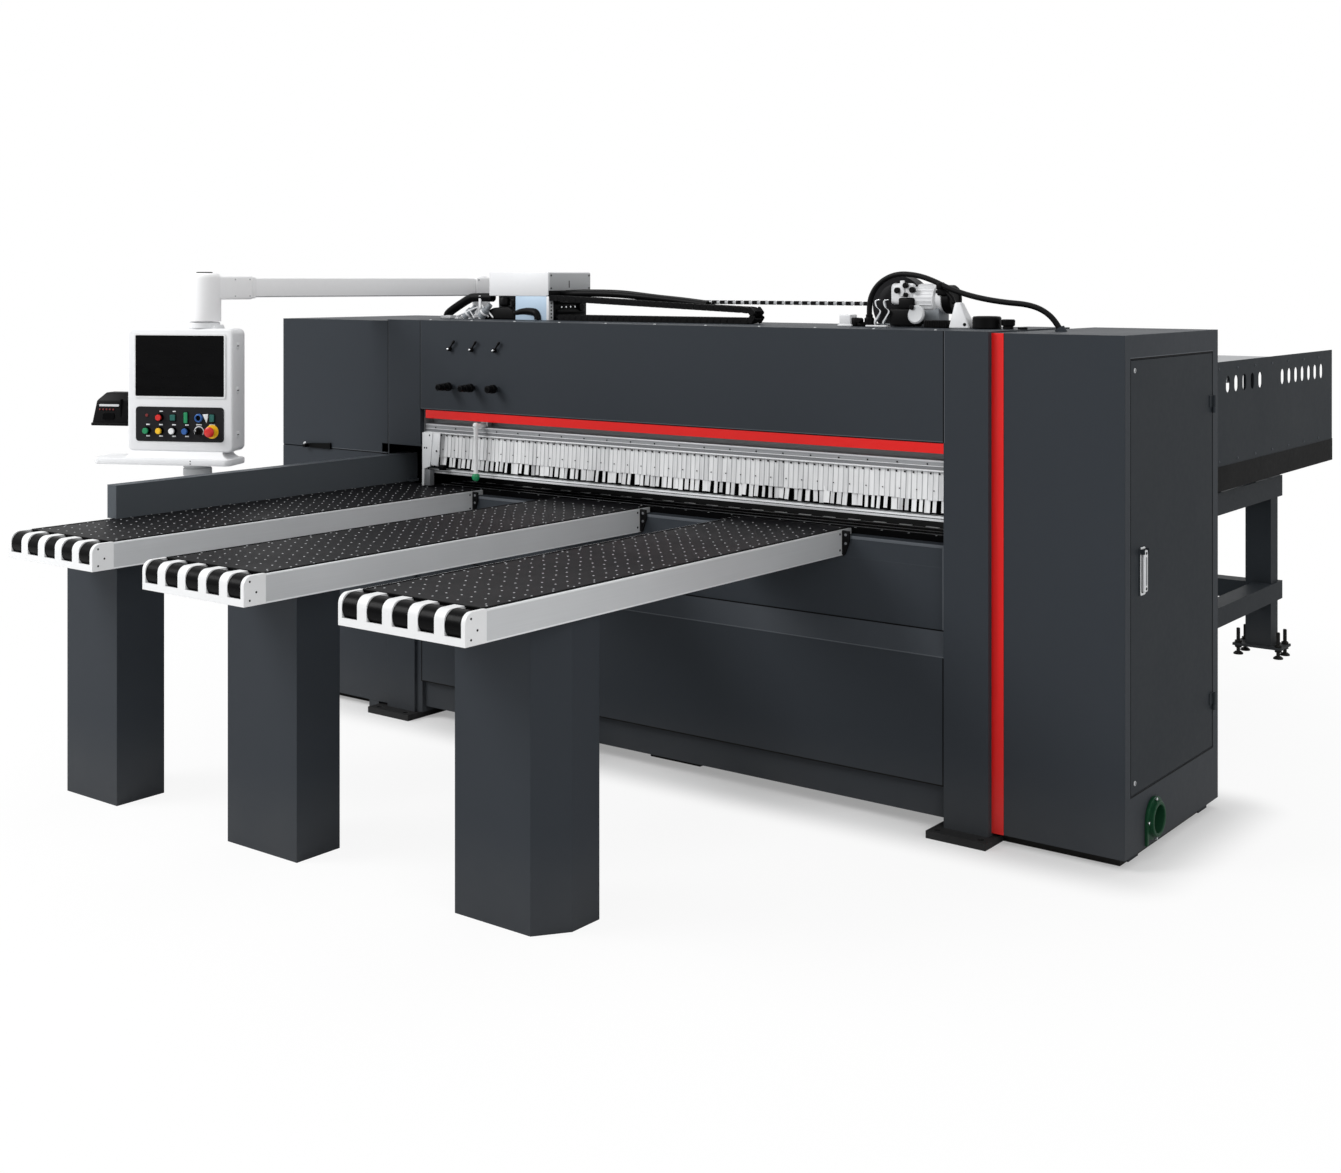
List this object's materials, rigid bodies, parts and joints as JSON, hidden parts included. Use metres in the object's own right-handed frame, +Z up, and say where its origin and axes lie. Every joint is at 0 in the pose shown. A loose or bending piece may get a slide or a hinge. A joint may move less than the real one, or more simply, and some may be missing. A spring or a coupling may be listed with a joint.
{
  "type": "beam saw",
  "caption": "Panel beam saw: pressure beam over a slotted bed, saw carriage below, front tables, pusher behind, console on a swing arm.",
  "frame": {"origin": "on the floor under the middle of the saw line, on the underside of the base frame's centre pad", "axes": "+X along the saw line to the switchgear cabinet, +Y from the operator towards the rear table, +Z up"},
  "size_m": [4.0562, 6.01, 1.893],
  "materials": {
    "dark_paint": "satin anthracite paint",
    "red_paint": "satin red paint",
    "white_paint": "satin white paint",
    "grey_paint": "satin grey paint",
    "black_paint": "matt black paint",
    "alu": "drawn and anodised",
    "steel": "ground",
    "chrome_metal": "bright plated",
    "strip_plastic": "milky flexible sheet",
    "black_plastic": "fine grain",
    "gloss_black": "polished",
    "table_board": "matt black sheet",
    "white_plastic": "moulded",
    "screen_glass": "display pane",
    "green_plastic": "moulded",
    "red_plastic": "moulded",
    "yellow_plastic": "moulded",
    "blue_plastic": "moulded",
    "cable_rubber": "smooth sheath",
    "switchgear": "moulded cases"
  },
  "bodies": {
    "machine": {"air_outlet": "green_plastic", "arm_post": "white_paint", "base_frame": "dark_paint", "beam_panel": "dark_paint", "bed_plates": "black_paint", "curtain_rail": "alu", "drag_chain": "black_plastic", "electrical_plate": "switchgear", "left_cabinet": "dark_paint", "left_upright": "dark_paint", "levelling_feet": "steel", "lift_gearmotor": "grey_paint", "lower_panel": "dark_paint", "motor_cable": "cable_rubber", "pusher_rails": "alu", "rear_frame": "dark_paint", "rear_guard": "dark_paint", "rear_table": "black_paint", "red_trims": "red_paint", "right_cabinet": "dark_paint", "right_upright": "dark_paint", "side_fence": "alu", "strip_curtain": "strip_plastic", "table_end_caps": "white_plastic", "table_legs": "dark_paint", "table_plates": "table_board", "table_rails": "alu", "top_drive_box": "white_paint", "upper_beam": "dark_paint"},
    "saw_carriage": {"saw_carriage": "grey_paint"},
    "saw_lift": {"saw_motor": "grey_paint"},
    "main_blade": {"main_blade": "steel"},
    "scoring_blade": {"scoring_blade": "steel"},
    "pressure_beam": {"pressure_beam": "black_paint"},
    "pusher": {"pusher_beam": "alu"},
    "jaws": {"gripper_jaws": "steel"},
    "door": {"cabinet_door": "dark_paint"},
    "door_handle": {"door_handle": "chrome_metal"},
    "rollers_1": {"table_rollers_1": "gloss_black"},
    "rollers_2": {"table_rollers_2": "gloss_black"},
    "rollers_3": {"table_rollers_3": "gloss_black"},
    "arm": {"swing_arm": "white_paint"},
    "console": {"console_housing": "white_paint", "console_screen": "screen_glass", "button_panel": "black_plastic", "console_tray": "white_paint"},
    "aligner": {"side_aligner": "green_plastic"},
    "red_button": {"red_button": "red_plastic"},
    "green_button": {"green_button": "green_plastic"},
    "yellow_button": {"yellow_button": "yellow_plastic"},
    "white_button": {"white_button": "white_plastic"},
    "blue_button": {"blue_button": "blue_plastic"},
    "mode_selector": {"mode_selector": "black_plastic"},
    "emergency_stop": {"emergency_stop": "red_plastic"},
    "regulator_knob_1": {"regulator_knob_1": "black_plastic"},
    "regulator_knob_2": {"regulator_knob_2": "black_plastic"},
    "regulator_knob_3": {"regulator_knob_3": "black_plastic"},
    "toggle_lever_1": {"toggle_lever_1": "chrome_metal"},
    "toggle_lever_2": {"toggle_lever_2": "chrome_metal"},
    "toggle_lever_3": {"toggle_lever_3": "chrome_metal"}
  },
  "joints": [
    {"name": "carriage_travel", "type": "slide", "parent": "machine", "child": "saw_carriage", "axis": [1, 0, 0], "range_m": [0, 2.77]},
    {"name": "saw_lift_travel", "type": "slide", "parent": "saw_carriage", "child": "saw_lift", "axis": [0, 0, 1], "range_m": [0, 0.088]},
    {"name": "main_blade_spin", "type": "hinge", "parent": "saw_lift", "child": "main_blade", "pos_m": [-1.64, 0, 0.775], "axis": [0, 1, 0], "continuous": true},
    {"name": "scoring_blade_spin", "type": "hinge", "parent": "saw_carriage", "child": "scoring_blade", "pos_m": [-1.97, 0, 0.889], "axis": [0, 1, 0], "continuous": true},
    {"name": "pressure_beam_travel", "type": "slide", "parent": "machine", "child": "pressure_beam", "axis": [0, 0, 1], "range_m": [-0.055, 0]},
    {"name": "pusher_travel", "type": "slide", "parent": "machine", "child": "pusher", "axis": [0, 1, 0], "range_m": [-2.2, 0.1]},
    {"name": "jaw_close", "type": "hinge", "parent": "pusher", "child": "jaws", "pos_m": [0, 2.66, 1.075], "axis": [1, 0, 0], "range_deg": [0, 12]},
    {"name": "door_hinge", "type": "hinge", "parent": "machine", "child": "door", "pos_m": [1.871, 0.594, 0.916], "axis": [0, 0, 1], "range_deg": [0, 110]},
    {"name": "handle_lift", "type": "hinge", "parent": "door", "child": "door_handle", "pos_m": [1.875, -0.0465, 0.992], "axis": [0, -1, 0], "range_deg": [0, 35]},
    {"name": "rollers_1_spin", "type": "hinge", "parent": "machine", "child": "rollers_1", "pos_m": [-1.202, -1.944, 0.944], "axis": [1, 0, 0], "continuous": true},
    {"name": "rollers_2_spin", "type": "hinge", "parent": "machine", "child": "rollers_2", "pos_m": [-0.317, -2.029, 0.944], "axis": [1, 0, 0], "continuous": true},
    {"name": "rollers_3_spin", "type": "hinge", "parent": "machine", "child": "rollers_3", "pos_m": [0.586, -2.029, 0.944], "axis": [1, 0, 0], "continuous": true},
    {"name": "arm_swing", "type": "hinge", "parent": "machine", "child": "arm", "pos_m": [-1.416, 0.345, 1.83], "axis": [0, 0, 1], "range_deg": [-70, 5]},
    {"name": "console_swivel", "type": "hinge", "parent": "arm", "child": "console", "pos_m": [-1.725, -0.95, 1.72], "axis": [0, 0, 1], "range_deg": [-60, 60]},
    {"name": "aligner_travel", "type": "slide", "parent": "machine", "child": "aligner", "axis": [1, 0, 0], "range_m": [-0.25, 1.6]},
    {"name": "red_button_press", "type": "slide", "parent": "console", "child": "red_button", "axis": [-0.4384, 0.8988, 0], "range_m": [0, 0.005], "stiffness_N_per_m": 600},
    {"name": "green_button_press", "type": "slide", "parent": "console", "child": "green_button", "axis": [-0.4384, 0.8988, 0], "range_m": [0, 0.005], "stiffness_N_per_m": 600},
    {"name": "yellow_button_press", "type": "slide", "parent": "console", "child": "yellow_button", "axis": [-0.4384, 0.8988, 0], "range_m": [0, 0.005], "stiffness_N_per_m": 600},
    {"name": "white_button_press", "type": "slide", "parent": "console", "child": "white_button", "axis": [-0.4384, 0.8988, 0], "range_m": [0, 0.005], "stiffness_N_per_m": 600},
    {"name": "blue_button_press", "type": "slide", "parent": "console", "child": "blue_button", "axis": [-0.4384, 0.8988, 0], "range_m": [0, 0.005], "stiffness_N_per_m": 600},
    {"name": "emergency_stop_press", "type": "slide", "parent": "console", "child": "emergency_stop", "axis": [-0.4384, 0.8988, 0], "range_m": [0, 0.004], "stiffness_N_per_m": 1500},
    {"name": "mode_selector_turn", "type": "hinge", "parent": "console", "child": "mode_selector", "pos_m": [-1.68361, -1.01548, 1.25], "axis": [-0.4384, 0.8988, 0], "range_deg": [-45, 45]},
    {"name": "regulator_1_turn", "type": "hinge", "parent": "machine", "child": "regulator_knob_1", "pos_m": [-1.052, -0.24, 1.416], "axis": [0, 1, 0], "range_deg": [-150, 150]},
    {"name": "regulator_2_turn", "type": "hinge", "parent": "machine", "child": "regulator_knob_2", "pos_m": [-0.92, -0.24, 1.416], "axis": [0, 1, 0], "range_deg": [-150, 150]},
    {"name": "regulator_3_turn", "type": "hinge", "parent": "machine", "child": "regulator_knob_3", "pos_m": [-0.796, -0.24, 1.416], "axis": [0, 1, 0], "range_deg": [-150, 150]},
    {"name": "toggle_1_turn", "type": "hinge", "parent": "machine", "child": "toggle_lever_1", "pos_m": [-1.06, -0.222, 1.572], "axis": [0, 1, 0], "range_deg": [-80, 0]},
    {"name": "toggle_2_turn", "type": "hinge", "parent": "machine", "child": "toggle_lever_2", "pos_m": [-0.935, -0.222, 1.572], "axis": [0, 1, 0], "range_deg": [-80, 0]},
    {"name": "toggle_3_turn", "type": "hinge", "parent": "machine", "child": "toggle_lever_3", "pos_m": [-0.804, -0.222, 1.572], "axis": [0, 1, 0], "range_deg": [-80, 0]}
  ]
}
